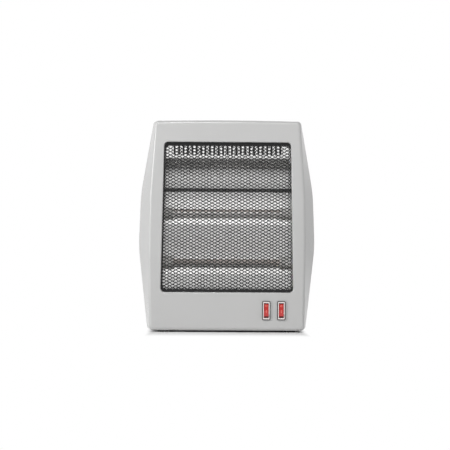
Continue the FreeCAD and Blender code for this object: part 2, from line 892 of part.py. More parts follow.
def rocker(x):
    # Dished front, round ends and a keel, drawn level and then tilted with its upper end pressed
    forward, height = dish_tip()
    skirt = math.radians(rocker_skirt_deg)
    back_depth = rocker_radius * math.sin(skirt)
    back_height = rocker_radius * math.cos(skirt)
    x_low = x - rocker_width / 2
    pivot = point(x_low, rocker_pivot_depth, switch_z)

    def place(ahead, up):
        return pivot + Vector(0, -ahead, up)

    dish = place(bezel_proud + rocker_pivot_depth - rocker_dish, 0)
    keel = place(-rocker_keel, 0)
    high_tip = place(forward, height)
    low_tip = place(forward, -height)
    high_skirt = place(-back_depth, back_height)
    low_skirt = place(-back_depth, -back_height)
    edges = [
        Part.LineSegment(dish, high_tip).toShape(),
        Part.Arc(high_tip, place(0, rocker_radius), high_skirt).toShape(),
        Part.LineSegment(high_skirt, keel).toShape(),
        Part.LineSegment(keel, low_skirt).toShape(),
        Part.Arc(low_skirt, place(0, -rocker_radius), low_tip).toShape(),
        Part.LineSegment(low_tip, dish).toShape(),
    ]
    solid = Part.Face(Part.Wire(edges)).extrude(Vector(rocker_width, 0, 0))
    pin_reach = rocker_width / 2 + rocker_pin_length
    solid = solid.fuse(rod_x((x - pin_reach, x + pin_reach), rocker_pivot_depth, switch_z, rocker_pin_radius))
    solid.rotate(pivot, Vector(1, 0, 0), -rocker_tilt_deg)
    return solid


def switch_tabs(x):
    tabs = []
    depth_range = (housing_depth, housing_depth + tab_length)
    x_range = (x - tab_width / 2, x + tab_width / 2)
    for offset in (-tab_offset, tab_offset):
        z = switch_z + offset
        tabs.append(box(x_range, depth_range, (z - tab_sheet / 2, z + tab_sheet / 2)))
    return Part.makeCompound(tabs)


def screw(x, z, head_depth, shank_end, radius, head_radius, head_height):
    # Round-headed screw that points to the front, with a cross slot in its head
    head = rod_y(x, (head_depth, head_depth + head_height), z, head_radius)
    solid = head.fuse(rod_y(x, (shank_end, head_depth), z, radius))
    slot_depth = (head_depth + head_height / 2, head_depth + head_height + overrun)
    arm = head_radius / 2
    across = box((x - arm, x + arm), slot_depth, (z - driver_slot / 2, z + driver_slot / 2))
    upright = box((x - driver_slot / 2, x + driver_slot / 2), slot_depth, (z - arm, z + arm))
    return solid.cut([across, upright])


def case_screws():
    screws = []
    for x, z in post_places:
        head_depth = parting_depth + post_floor
        shank_end = parting_depth - screw_bite
        screws.append(screw(x, z, head_depth, shank_end, screw_radius, screw_head_radius, screw_head_height))
    return Part.makeCompound(screws)


def plate_screws():
    screws = []
    head_depth = plate_front_depth + plate_sheet
    for side in sides.values():
        for z in boss_levels:
            shank_end = plate_front_depth - boss_screw_bite
            solid = screw(
                side * boss_x,
                z,
                head_depth,
                shank_end,
                boss_screw_radius,
                boss_screw_head_radius,
                boss_screw_head_height,
            )
            screws.append(solid)
    return Part.makeCompound(screws)


def cord_gland():
    flange = rod_y(gland_x, (total_depth, total_depth + gland_flange_length), gland_z, gland_flange)
    rim = end_edges(flange, total_depth + gland_flange_length)
    flange = flange.makeFillet(gland_edge, rim)
    barrel = rod_y(gland_x, (total_depth - gland_barrel_length, total_depth), gland_z, gland_barrel)
    bore_depth = (total_depth - gland_barrel_length - overrun, total_depth + gland_flange_length + overrun)
    return flange.fuse(barrel).cut(rod_y(gland_x, bore_depth, gland_z, gland_bore))


def gland_nut():
    back = total_depth - case_wall
    corners = []
    for index in range(6):
        angle = index * math.pi / 3
        reach_x = gland_nut_radius * math.cos(angle)
        reach_z = gland_nut_radius * math.sin(angle)
        corners.append(point(gland_x + reach_x, back - gland_nut_length, gland_z + reach_z))
    nut = prism(Part.makePolygon(corners + corners[:1]), gland_nut_length)
    hole_depth = (back - gland_nut_length - overrun, back + overrun)
    return nut.cut(rod_y(gland_x, hole_depth, gland_z, gland_barrel + running_clearance))


# Heights of the tip-over cut-out, from the case floor up
flange_low_z = inner_z + tip_travel + loose_clearance
flange_high_z = flange_low_z + plunger_flange_height
spring_high_z = flange_high_z + tip_spring_room
housing_high_z = spring_high_z + tip_housing_roof
stem_high_z = housing_high_z + microswitch_gap
microswitch_low_z = stem_high_z + loose_clearance + microswitch_button


def tip_housing():
    cup = rod_z(tip_x, tip_depth, (inner_z, housing_high_z), tip_housing_radius)
    wall_depth = tip_depth + microswitch_width / 2
    wall_x = (tip_x - microswitch_length / 2, tip_x + microswitch_length / 2)
    wall_z = (inner_z, microswitch_low_z + microswitch_height)
    cup = cup.fuse(box(wall_x, (wall_depth, wall_depth + tip_bracket_sheet), wall_z))
    bore = rod_z(tip_x, tip_depth, (inner_z - overrun, spring_high_z), plunger_flange + running_clearance)
    stem = rod_z(tip_x, tip_depth, (inner_z, housing_high_z + overrun), plunger_stem + running_clearance)
    return cup.cut([bore, stem])


def tip_plunger():
    button = rod_z(tip_x, tip_depth, (0, flange_low_z), plunger_radius)
    low_edges = [e for e in button.Edges if e.BoundBox.ZMax < match_tolerance]
    button = button.makeFillet(foot_edge, low_edges)
    flange = rod_z(tip_x, tip_depth, (flange_low_z, flange_high_z), plunger_flange)
    return button.fuse([flange, rod_z(tip_x, tip_depth, (flange_high_z, stem_high_z), plunger_stem)])


def tip_spring():
    room = tip_spring_room - 2 * (tip_spring_wire + loose_clearance)
    start = point(tip_x, tip_depth, flange_high_z + tip_spring_wire + loose_clearance)
    rise = room / tip_spring_turns
    axis = Vector(0, 0, 1)
    return winding(start, axis, Vector(1, 0, 0), tip_spring_radius, tip_spring_wire, rise, tip_spring_turns)


def tip_microswitch():
    half = microswitch_width / 2
    high = microswitch_low_z + microswitch_height
    x_range = (tip_x - microswitch_length / 2, tip_x + microswitch_length / 2)
    body = box(x_range, (tip_depth - half, tip_depth + half), (microswitch_low_z, high))
    button_z = (microswitch_low_z - microswitch_button, microswitch_low_z)
    additions = [rod_z(tip_x, tip_depth, button_z, microswitch_button_radius)]
    for way in (-1, 1):
        end = microswitch_tab_end(way)
        tab_x = (end[0] - tab_width / 2, end[0] + tab_width / 2)
        tab_z = (end[2] - tab_sheet / 2, end[2] + tab_sheet / 2)
        additions.append(box(tab_x, (end[1], tip_depth - half), tab_z))
    return body.fuse(additions)


def microswitch_tab_end(way):
    depth = tip_depth - microswitch_width / 2 - tab_length
    return tip_x + way * microswitch_tab_spacing, depth, microswitch_low_z + microswitch_height / 2


def thermal_cutout():
    start = -plate_outer_x
    flange = rod_x((start, start - cutout_flange_sheet), cutout_depth, cutout_z, cutout_flange)
    can = rod_x((start, start - cutout_length), cutout_depth, cutout_z, cutout_radius)
    solid = flange.fuse(can)
    x_range = (start - cutout_length - cutout_tab_length, start - cutout_length)
    for offset in (-tab_width, tab_width):
        depth = cutout_depth + offset
        depth_range = (depth - tab_sheet / 2, depth + tab_sheet / 2)
        solid = solid.fuse(box(x_range, depth_range, (cutout_z - tab_width / 2, cutout_z + tab_width / 2)))
    return solid


def block_way_x(way):
    return block_x + (way - (block_ways - 1) / 2) * block_pitch


block_lead_z = inner_z + block_height / 3


def terminal_block():
    half_x = block_ways * block_pitch / 2
    depth_range = (block_depth - block_width / 2, block_depth + block_width / 2)
    block_top_z = inner_z + block_height
    block = box((block_x - half_x, block_x + half_x), depth_range, (inner_z, block_top_z))
    cuts = []
    for way in range(block_ways):
        x = block_way_x(way)
        through = (depth_range[0] - overrun, depth_range[1] + overrun)
        cuts.append(rod_y(x, through, block_lead_z, lead_radius + running_clearance))
        screw_hole = (block_top_z - block_screw_sunk, block_top_z + overrun)
        cuts.append(rod_z(x, block_depth, screw_hole, block_screw_radius + running_clearance))
    return block.cut(cuts)


def terminal_screws():
    screws = []
    high = inner_z + block_height
    low = high - block_screw_sunk
    for way in range(block_ways):
        x = block_way_x(way)
        shank = rod_z(x, block_depth, (low, high - block_screw_sunk / 3), block_screw_radius)
        slot_x = (x - block_screw_radius, x + block_screw_radius)
        slot_depth = (block_depth - driver_slot / 2, block_depth + driver_slot / 2)
        slot = box(slot_x, slot_depth, (high - block_screw_sunk / 2, high))
        screws.append(shank.cut(slot))
    return Part.makeCompound(screws)


def switch_tab_end(name, way):
    return switch_places[name], housing_depth + tab_length, switch_z + way * tab_offset


def stud_end(side, level):
    return side * (plate_outer_x + ceramic_neck_length + stud_reach), tube_depth, tube_levels[level]


def block_end(way):
    return block_way_x(way), block_depth - block_width / 2 + block_lead_sunk, block_lead_z


def cutout_tab_end(way):
    return -plate_outer_x - cutout_length - cutout_tab_length, cutout_depth + way * tab_width, cutout_z


def lead(start, route, end):
    # Insulated wire along straight runs and tangent arcs, as gentle as the runs allow
    points = [point(*place) for place in [start] + route + [end]]
    rounds = []
    for index in range(1, len(points) - 1):
        before = points[index] - points[index - 1]
        after = points[index + 1] - points[index]
        shorter = min(before.Length, after.Length)
        rounds.append(min(lead_bend, run_share * shorter / math.tan(before.getAngle(after) / 2)))
    path = rounded_path(points, rounds)
    profile = Part.Wire(Part.makeCircle(lead_radius, points[0], points[1] - points[0]))
    solid = path.makePipeShell([profile], True, False)
    true_volume = math.pi * lead_radius ** 2 * path.Length
    print("lead radii", [round(r, 1) for r in rounds], "volume ratio", round(solid.Volume / true_volume, 4))
    return solid


def beside(side, places):
    # Places between an end plate and the bulging side of the case
    return [(side * (plate_outer_x + gap), depth, z) for gap, depth, z in places]


def straight_out(end, depth):
    # Place straight out from the end of a tab
    return end[0], depth, end[2]


def stud_lead_end(side, level):
    return beside(side, [(stud_lead_gap, tube_depth, tube_levels[level])])


def switch_link():
    # Strip under the lower tabs that joins the two switches
    x_range = (switch_places["left"] - tab_width / 2, switch_places["right"] + tab_width / 2)
    depth = housing_depth + tab_length / 2
    high = switch_z - tab_offset - tab_sheet / 2
    return box(x_range, (depth - link_width / 2, depth + link_width / 2), (high - tab_sheet, high))


switch_ends = {
    "feed": switch_tab_end("left", -1),
    "upper": switch_tab_end("left", 1),
    "lower": switch_tab_end("right", 1),
}
tip_ends = {"live": microswitch_tab_end(1), "cutout": microswitch_tab_end(-1)}
live_run = [
    (block_way_x(2), tip_depth - live_ahead[0], block_lead_z),
    (live_turn_x, tip_depth - live_ahead[1], block_lead_z),
    straight_out(tip_ends["live"], tip_depth - live_ahead[1]),
]
cutout_run = [straight_out(tip_ends["cutout"], tip_depth - cutout_ahead)] + beside(-1, cutout_side_route)
feed_run = beside(-1, feed_side_route) + [
    (feed_turn[0] - post_lower_x, tip_depth - feed_ahead[0], feed_turn[1]),
    (feed_end[0], tip_depth - feed_ahead[1], feed_end[1]),
    straight_out(switch_ends["feed"], feed_drop_depth),
]
lower_run = [straight_out(switch_ends["lower"], lower_drop_depth)] + beside(1, lower_side_route)
lower_run += stud_lead_end(1, "lower")
upper_run = [straight_out(switch_ends["upper"], upper_drop_depth)] + beside(1, upper_side_route)
upper_run += stud_lead_end(1, "upper")
lower_neutral_run = [
    (block_way_x(1), tip_depth - lower_neutral_ahead[0], block_lead_z),
    (lower_neutral_turn[0] - post_lower_x, tip_depth - lower_neutral_ahead[1], lower_neutral_turn[1]),
]
lower_neutral_run += beside(-1, lower_neutral_side_route) + stud_lead_end(-1, "lower")
upper_neutral_run = [
    (block_way_x(0), tip_depth - upper_neutral_ahead[0], block_lead_z),
    (upper_neutral_turn[0] - post_lower_x, tip_depth - upper_neutral_ahead[1], upper_neutral_turn[1]),
]
upper_neutral_run += beside(-1, upper_neutral_side_route) + stud_lead_end(-1, "upper")
leads = {
    "live_lead": lead(block_end(2), live_run, tip_ends["live"]),
    "cutout_lead": lead(tip_ends["cutout"], cutout_run, cutout_tab_end(1)),
    "feed_lead": lead(cutout_tab_end(-1), feed_run, switch_ends["feed"]),
    "lower_tube_lead": lead(switch_ends["lower"], lower_run, stud_end(1, "lower")),
    "upper_tube_lead": lead(switch_ends["upper"], upper_run, stud_end(1, "upper")),
    "lower_neutral_lead": lead(block_end(1), lower_neutral_run, stud_end(-1, "lower")),
    "upper_neutral_lead": lead(block_end(0), upper_neutral_run, stud_end(-1, "upper")),
}
parts = {
    "front_frame": front_frame(),
    "rear_shell": rear_shell(),
    "mesh_guard": mesh_guard(),
    "guard_clips": guard_clips(),
    "vent_panel": vent_panel(),
    "reflector": reflector(),
    "tube_terminals": tube_terminals(),
    "case_screws": case_screws(),
    "plate_screws": plate_screws(),
    "cord_gland": cord_gland(),
    "gland_nut": gland_nut(),
    "tip_housing": tip_housing(),
    "tip_plunger": tip_plunger(),
    "tip_spring": tip_spring(),
    "tip_microswitch": tip_microswitch(),
    "thermal_cutout": thermal_cutout(),
    "terminal_block": terminal_block(),
    "terminal_screws": terminal_screws(),
    "switch_link": switch_link(),
}
parts.update(leads)
for side_name, side in sides.items():
    parts[side_name + "_end_plate"] = end_plate(side)
    parts[side_name + "_switch_body"] = switch_body(switch_places[side_name])
    parts[side_name + "_rocker"] = rocker(switch_places[side_name])
    parts[side_name + "_switch_tabs"] = switch_tabs(switch_places[side_name])
for level_name, level_z in tube_levels.items():
    parts[level_name + "_quartz_tube"] = quartz_tube(level_z)
    parts[level_name + "_heating_coil"] = heating_coil(level_z)
    for side_name, side in sides.items():
        parts[level_name + "_" + side_name + "_ceramic"] = ceramic(side, level_z)
for foot_name in foot_places:
    parts[foot_name + "_foot"] = foot(foot_name)

os.makedirs("parts", exist_ok=True)
for name, shape in parts.items():
    print(name, len(shape.Solids), round(shape.Volume, 1), shape.isValid())
    shape.exportStep(os.path.join("parts", name + ".step"))
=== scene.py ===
import json
import math
import bmesh
import bpy
from mathutils import Matrix, Vector


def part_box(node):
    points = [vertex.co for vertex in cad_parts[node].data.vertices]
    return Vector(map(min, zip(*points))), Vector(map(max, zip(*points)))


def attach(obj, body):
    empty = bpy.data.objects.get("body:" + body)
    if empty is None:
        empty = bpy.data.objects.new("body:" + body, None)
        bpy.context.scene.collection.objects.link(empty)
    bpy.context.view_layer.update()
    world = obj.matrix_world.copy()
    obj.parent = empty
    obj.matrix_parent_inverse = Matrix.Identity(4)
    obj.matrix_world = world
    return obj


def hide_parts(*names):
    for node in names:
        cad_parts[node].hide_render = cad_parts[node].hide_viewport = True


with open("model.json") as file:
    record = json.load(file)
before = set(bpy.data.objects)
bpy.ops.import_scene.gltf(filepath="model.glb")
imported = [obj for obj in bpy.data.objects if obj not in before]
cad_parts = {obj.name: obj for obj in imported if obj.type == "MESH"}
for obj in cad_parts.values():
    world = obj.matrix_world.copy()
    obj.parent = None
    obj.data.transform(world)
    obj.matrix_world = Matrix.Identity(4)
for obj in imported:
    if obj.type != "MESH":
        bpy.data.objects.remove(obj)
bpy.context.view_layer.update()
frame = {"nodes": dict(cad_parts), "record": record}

nodes = frame["nodes"]
joints = {joint["name"]: joint for joint in frame["record"]["behaviour"]["joints"]}
scene = bpy.context.scene
mm = 0.001
white = (1.0, 1.0, 1.0, 1.0)
upright = Matrix.Rotation(math.radians(90), 4, "X")   # turns a drawing on the floor to face the front
print("frame loaded with", len(nodes), "nodes")


# Shader maths

class Wire:
    # a shader output that takes part in Python sums
    def __init__(self, graph, out):
        self.graph = graph
        self.out = out

    def calc(self, operation, first, second):
        return self.graph.add("ShaderNodeMath", {"operation": operation}, {0: first, 1: second})

    def __add__(self, other):
        return self.calc("ADD", self, other)

    def __radd__(self, other):
        return self.calc("ADD", other, self)

    def __sub__(self, other):
        return self.calc("SUBTRACT", self, other)

    def __rsub__(self, other):
        return self.calc("SUBTRACT", other, self)

    def __mul__(self, other):
        return self.calc("MULTIPLY", self, other)

    def __rmul__(self, other):
        return self.calc("MULTIPLY", other, self)

    def __truediv__(self, other):
        return self.calc("DIVIDE", self, other)

    def __rtruediv__(self, other):
        return self.calc("DIVIDE", other, self)

    def __abs__(self):
        return self.calc("ABSOLUTE", self, 0.0)

    def atLeast(self, other):
        return self.calc("MAXIMUM", self, other)


class Graph:
    # the shader nodes of a material or of the world
    def __init__(self, owner):
        owner.use_nodes = True
        self.tree = owner.node_tree

    def add(self, kind, settings=None, inputs=None, output=0):
        node = self.tree.nodes.new(kind)
        for key, value in (settings or {}).items():
            setattr(node, key, value)
        for key, value in (inputs or {}).items():
            self.feed(node.inputs[key], value)
        return Wire(self, node.outputs[output])

    def feed(self, socket, value):
        if isinstance(value, Wire):
            self.tree.links.new(value.out, socket)
        else:
            socket.default_value = value

    def seenRays(self):
        # rays that come from the eye, straight or by way of a mirror or glass
        names = ("Is Camera Ray", "Is Glossy Ray", "Is Transmission Ray")
        camera, glossy, glass = [self.add("ShaderNodeLightPath", output=name) for name in names]
        return camera.atLeast(glossy).atLeast(glass)


class Finish(Graph):
    # a material whose patterns lie in the object's own metres
    def __init__(self, name):
        self.material = bpy.data.materials.new(name)
        super().__init__(self.material)
        self.surface = self.tree.nodes["Principled BSDF"]
        self.place = self.add("ShaderNodeTexCoord", output="Object")

    def set(self, **values):
        for key, value in values.items():
            self.feed(self.surface.inputs[key.replace("_", " ")], value)
        return self.material

    def stretched(self, scale):
        return self.add("ShaderNodeMapping", None, {"Vector": self.place, "Scale": scale})

    def noise(self, scale, detail, place=None):
        inputs = {"Vector": place or self.place, "Scale": scale, "Detail": detail}
        return self.add("ShaderNodeTexNoise", None, inputs)

    def blend(self, factor, first, second):
        inputs = {0: factor, 6: first, 7: second}     # a Mix node's sockets for colours
        return self.add("ShaderNodeMix", {"data_type": "RGBA"}, inputs, 2)

    def shades(self, factor, colour, tones):
        darker, lighter = tones
        return self.blend(factor, shaded(colour, darker), shaded(colour, lighter))

    def axes(self):
        split = self.add("ShaderNodeSeparateXYZ", None, {0: self.place})
        return [Wire(self, out) for out in split.out.node.outputs]

    def ease(self, value, low, high):
        inputs = {"Value": value, "From Min": low, "From Max": high}
        return self.add("ShaderNodeMapRange", {"interpolation_type": "SMOOTHSTEP"}, inputs)

    def bump(self, height, strength, distance):
        inputs = {"Height": height, "Strength": strength, "Distance": distance}
        return self.add("ShaderNodeBump", None, inputs)


def shaded(colour, factor):
    return tuple(min(1.0, part * factor) for part in colour[:3]) + (1.0,)


def swing(noise, amount):
    return (noise - 0.5) * amount     # noise lies about a half


# Finishes: each noise has its scale per metre and its detail, each bump its strength and depth

casePlasticLook = {
    "colour": (0.51, 0.51, 0.506, 1.0),
    "drift": (9.0, 2.0),         # slow change of tone over the moulding
    "driftTones": (0.97, 1.03),
    "driftRough": 0.08,
    "grain": (1400.0, 2.0),      # fine moulded grain
    "grainRough": 0.1,
    "grainBump": (0.35, 0.04 * mm),
    "roughness": 0.3,
    "specular": 0.7,
    "coat": 0.25,
    "coatRoughness": 0.12,
}


def casePlastic():
    look = casePlasticLook
    finish = Finish("case_plastic")
    drift = finish.noise(*look["drift"])
    grain = finish.noise(*look["grain"])
    return finish.set(
        Base_Color=finish.shades(drift, look["colour"], look["driftTones"]),
        Roughness=look["roughness"] + swing(drift, look["driftRough"]) + swing(grain, look["grainRough"]),
        Normal=finish.bump(grain, *look["grainBump"]),
        Specular_IOR_Level=look["specular"],
        Coat_Weight=look["coat"],
        Coat_Roughness=look["coatRoughness"],
    )


brightSheetLook = {
    "colour": (0.95, 0.95, 0.945, 1.0),
    "roughness": 0.2,
    "rolled": (6.0, 900.0, 900.0),   # rolling marks along the sheet, per metre each way
    "streak": (1.0, 4.0),
    "streakRough": 0.12,
    "streakBump": (0.12, 0.05 * mm),
    "cloud": (14.0, 3.0),
    "cloudTone": 0.94,
    "cloudRough": 0.08,
    "bend": 48.5 * mm,           # under the vent strip, from the upper sheet's lower edge
    "bendBlur": 0.5 * mm,
    "underBendShadeTone": 0.6,          # painted shade on the sheet just below the bend
    "underBendShadeFade": (5.0 * mm, 19.0 * mm),
    "underBendShadeSag": 0.1,           # how much lower the painted shade reaches towards the ends
    "creaseShade": 0.5,                 # painted shade along the crease between the sheets
    "creaseShadeTone": 0.4,
    "creaseShadeFade": (1.0 * mm, 20.0 * mm),
}


def brightSheet():
    look = brightSheetLook
    colour = look["colour"]
    finish = Finish("bright_sheet")
    streak = finish.noise(*look["streak"], finish.stretched(look["rolled"]))
    cloud = finish.noise(*look["cloud"])
    clean = finish.blend(cloud, shaded(colour, look["cloudTone"]), colour)
    x, _, z = finish.axes()
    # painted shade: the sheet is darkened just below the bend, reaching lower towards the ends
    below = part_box("vent_panel")[0].z + look["bend"] - z
    outOfBendShade = finish.ease(below - abs(x) * look["underBendShadeSag"], *look["underBendShadeFade"])
    dark = finish.ease(below, -look["bendBlur"], look["bendBlur"]) * (1 - outOfBendShade)
    underBendShaded = finish.blend(dark, clean, shaded(colour, look["underBendShadeTone"]))
    # painted shade, darkest at the crease between the sheets and fading away from it
    clear = finish.ease(abs(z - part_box("reflector")[1].z), *look["creaseShadeFade"])
    return finish.set(
        Base_Color=finish.blend((1 - clear) * look["creaseShade"], underBendShaded, shaded(colour, look["creaseShadeTone"])),
        Metallic=1.0,
        Roughness=look["roughness"] + swing(streak, look["streakRough"]) + swing(cloud, look["cloudRough"]),
        Normal=finish.bump(streak, *look["streakBump"]),
    )


guardLook = {
    "colour": (0.012, 0.012, 0.0125, 1.0),
    "speck": (700.0, 3.0),
    "speckTones": (0.7, 1.6),
    "speckRough": 0.2,
    "speckBump": (0.3, 0.04 * mm),
    "roughness": 0.5,
    "specular": 0.25,
}


def guardBlack():
    look = guardLook
    finish = Finish("guard_black")
    speck = finish.noise(*look["speck"])
    return finish.set(
        Base_Color=finish.shades(speck, look["colour"], look["speckTones"]),
        Roughness=look["roughness"] + swing(speck, look["speckRough"]),
        Normal=finish.bump(speck, *look["speckBump"]),
        Specular_IOR_Level=look["specular"],
    )


zincLook = {
    "colour": (0.55, 0.55, 0.54, 1.0),
    "spangle": 220.0,            # crystals per metre
    "spangleMix": 0.12,
    "grain": (500.0, 3.0),
    "roughness": 0.3,
    "grainRough": 0.16,
}


def zincSteel():
    look = zincLook
    finish = Finish("zinc_steel")
    cells = {"Vector": finish.place, "Scale": look["spangle"]}
    spangle = finish.add("ShaderNodeTexVoronoi", None, cells, "Color")
    grain = finish.noise(*look["grain"])
    return finish.set(
        Base_Color=finish.blend(look["spangleMix"], look["colour"], spangle),
        Metallic=1.0,
        Roughness=look["roughness"] + grain * look["grainRough"],
    )


quartzLook = {
    "colours": ((0.74, 0.66, 0.61, 1.0), (0.88, 0.81, 0.77, 1.0)),
    "drawn": (0.4, 1.0, 1.0),    # clouds drawn out along the tube
    "cloud": (60.0, 4.0),
    "cloudRough": 0.2,
    "roughness": 0.22,
    "paintedSheen": 0.85,               # painted reflection: how mirror-like and pale the lower and rear sides are made to look
    "paintedSheenColour": (0.95, 0.94, 0.93, 1.0),
    "paintedSheenBelow": {"upper": 1.8 * mm, "lower": -1.6 * mm},   # height over the axis
    "paintedSheenFade": 1.6 * mm,
    "transmission": 0.3,
    "ior": 1.46,
}


def milkyQuartz(level):
    look = quartzLook
    finish = Finish(level + "_milky_quartz")
    low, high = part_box(level + "_quartz_tube")
    middle = (low + high) / 2
    cloud = finish.noise(*look["cloud"], finish.stretched(look["drawn"]))
    milk = finish.blend(cloud, *look["colours"])
    _, y, z = finish.axes()
    # painted reflection: below a set height and behind the axis the tube blends to a pale mirror
    under = finish.ease(middle.z + look["paintedSheenBelow"][level] - z, 0.0, look["paintedSheenFade"])
    behind = finish.ease(y - middle.y, 0.0, look["paintedSheenFade"])
    paintedSheen = under.atLeast(behind) * look["paintedSheen"]
    return finish.set(
        Base_Color=finish.blend(paintedSheen, milk, look["paintedSheenColour"]),
        Roughness=look["roughness"] + cloud * look["cloudRough"],
        Metallic=paintedSheen,
        Transmission_Weight=look["transmission"],
        IOR=look["ior"],
    )


coilLook = {
    "colours": ((0.1, 0.08, 0.07, 1.0), (0.24, 0.2, 0.17, 1.0)),
    "scale": (900.0, 3.0),       # burnt skin of the wire
    "scaleRough": 0.3,
    "roughness": 0.35,
    "metallic": 0.8,
}


def coilWire():
    look = coilLook
    finish = Finish("coil_wire")
    scale = finish.noise(*look["scale"])
    return finish.set(
        Base_Color=finish.blend(scale, *look["colours"]),
        Metallic=look["metallic"],
        Roughness=look["roughness"] + scale * look["scaleRough"],
    )


ceramicLook = {
    "colours": ((0.86, 0.85, 0.82, 1.0), (0.95, 0.94, 0.92, 1.0)),
    "cloud": (45.0, 2.0),
    "speck": (600.0, 4.0),
    "speckRough": 0.15,
    "speckBump": (0.4, 0.1 * mm),
    "roughness": 0.55,
}


def bisqueCeramic():
    look = ceramicLook
    finish = Finish("bisque_ceramic")
    speck = finish.noise(*look["speck"])
    return finish.set(
        Base_Color=finish.blend(finish.noise(*look["cloud"]), *look["colours"]),
        Roughness=look["roughness"] + speck * look["speckRough"],
        Normal=finish.bump(speck, *look["speckBump"]),
    )


mouldedLook = {
    "drift": (30.0, 2.0),
    "driftTones": (0.93, 1.05),
    "grainRough": 0.12,
    "grainBump": (0.25, 0.04 * mm),
    "kinds": {
        # bezel: pale plastic with a pink tint that is a painted reflection of the red rocker
        "bezel_plastic": {"colour": (0.86, 0.78, 0.765, 1.0), "roughness": 0.3, "grain": (900.0, 2.0)},
        "black_plastic": {"colour": (0.03, 0.03, 0.031, 1.0), "roughness": 0.42, "grain": (900.0, 2.0)},
        "white_plastic": {"colour": (0.78, 0.78, 0.75, 1.0), "roughness": 0.4, "grain": (900.0, 2.0)},
        "rubber": {"colour": (0.03, 0.03, 0.03, 1.0), "roughness": 0.7, "grain": (1600.0, 2.0)},
        "rocker_mark": {"colour": (0.88, 0.19, 0.14, 1.0), "roughness": 0.4, "grain": (900.0, 2.0)},
    },
}


def moulded(name):
    look = mouldedLook
    kind = look["kinds"][name]
    finish = Finish(name)
    grain = finish.noise(*kind["grain"])
    drift = finish.noise(*look["drift"])
    return finish.set(
        Base_Color=finish.shades(drift, kind["colour"], look["driftTones"]),
        Roughness=kind["roughness"] + swing(grain, look["grainRough"]),
        Normal=finish.bump(grain, *look["grainBump"]),
    )


redLensLook = {
    "colours": ((0.46, 0.022, 0.02, 1.0), (0.56, 0.03, 0.027, 1.0)),
    "endShade": (0.2, 0.008, 0.01, 1.0),   # painted shade at both ends of the lens
    "above": (9.8 * mm, 10.8 * mm),    # where the painted shade starts above the pivot
    "below": (8.3 * mm, 9.0 * mm),
    "drift": (120.0, 2.0),
    "driftRough": 0.08,
    "roughness": 0.24,
    "ior": 1.49,
    "specular": 0.3,
    "coat": 0.08,
    "coatRoughness": 0.1,
}


def redLens():
    look = redLensLook
    finish = Finish("red_lens")
    drift = finish.noise(*look["drift"])
    lens = finish.blend(drift, *look["colours"])
    pivotZ = joints["left_rocker_hinge"]["pos_m"][2]   # the same for both rockers
    z = finish.axes()[2]
    # painted shade: the lens darkens beyond set heights above and below the pivot
    shadedEnds = finish.ease(z - pivotZ, *look["above"]) + finish.ease(pivotZ - z, *look["below"])
    return finish.set(
        Base_Color=finish.blend(shadedEnds, lens, look["endShade"]),
        Roughness=look["roughness"] + drift * look["driftRough"],
        IOR=look["ior"],
        Specular_IOR_Level=look["specular"],
        Coat_Weight=look["coat"],
        Coat_Roughness=look["coatRoughness"],
    )


brassLook = {
    "colours": ((0.62, 0.45, 0.18, 1.0), (0.8, 0.62, 0.3, 1.0)),
    "grain": (400.0, 3.0),
    "grainRough": 0.15,
    "roughness": 0.28,
}


def brass():
    look = brassLook
    finish = Finish("brass")
    grain = finish.noise(*look["grain"])
    return finish.set(
        Base_Color=finish.blend(grain, *look["colours"]),
        Metallic=1.0,
        Roughness=look["roughness"] + grain * look["grainRough"],
    )


sleeveLook = {
    "colours": ((0.62, 0.6, 0.55, 1.0), (0.8, 0.79, 0.75, 1.0)),
    "weave": 1500.0,             # checks per metre
    "weaveBump": (0.5, 0.1 * mm),
    "fuzz": (900.0, 3.0),
    "fuzzHeight": 0.5,           # beside the weave's
    "fuzzRough": 0.2,
    "roughness": 0.7,
}


def braidedSleeve():
    look = sleeveLook
    finish = Finish("braided_sleeve")
    checks = {"Vector": finish.place, "Scale": look["weave"]}
    weave = finish.add("ShaderNodeTexChecker", None, checks, "Fac")
    fuzz = finish.noise(*look["fuzz"])
    return finish.set(
        Base_Color=finish.blend(weave, *look["colours"]),
        Roughness=look["roughness"] + fuzz * look["fuzzRough"],
        Normal=finish.bump(weave + fuzz * look["fuzzHeight"], *look["weaveBump"]),
    )


finishes = {
    "case_plastic": casePlastic(),
    "bright_sheet": brightSheet(),
    "guard_metal": guardBlack(),
    "zinc_steel": zincSteel(),
    "quartz": milkyQuartz("upper"),
    "coil_wire": coilWire(),
    "ceramic": bisqueCeramic(),
    "red_plastic": redLens(),
    "brass": brass(),
    "lead_insulation": braidedSleeve(),
}
for kind in mouldedLook["kinds"]:
    finishes[kind] = moulded(kind)
for subpart in frame["record"]["subparts"]:
    node = nodes[subpart["node"]]
    node.data.materials.clear()
    node.data.materials.append(finishes[subpart["material_slot"]])
nodes["lower_quartz_tube"].data.materials[0] = milkyQuartz("lower")   # its painted sheen lies lower
print("finishes made:", len(finishes))


# Pieces

def addPiece(name, bm, slot, body, replaced=()):
    mesh = bpy.data.meshes.new(name)
    bm.to_mesh(mesh)
    bm.free()
    mesh.materials.append(finishes[slot])
    piece = bpy.data.objects.new(name, mesh)
    scene.collection.objects.link(piece)
    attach(piece, body)
    if replaced:
        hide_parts(*replaced)
    return piece


def allOf(bm):
    return bm.verts[:] + bm.edges[:] + bm.faces[:]


def vertsOf(geom):
    return [part for part in geom if isinstance(part, bmesh.types.BMVert)]


def repeat(bm, geom, offset):
    copied = bmesh.ops.duplicate(bm, geom=geom)["geom"]
    bmesh.ops.translate(bm, verts=vertsOf(copied), vec=offset)


def plate(bm, width, height):
    verts = bmesh.ops.create_grid(bm, x_segments=1, y_segments=1, size=0.5)["verts"]
    bmesh.ops.scale(bm, verts=verts, vec=(width, height, 1))
    return verts


def roundCorners(bm, verts, radius, segments):
    bmesh.ops.bevel(
        bm, geom=verts, offset=radius, affect="VERTICES", segments=segments, profile=0.5, material=-1,
    )


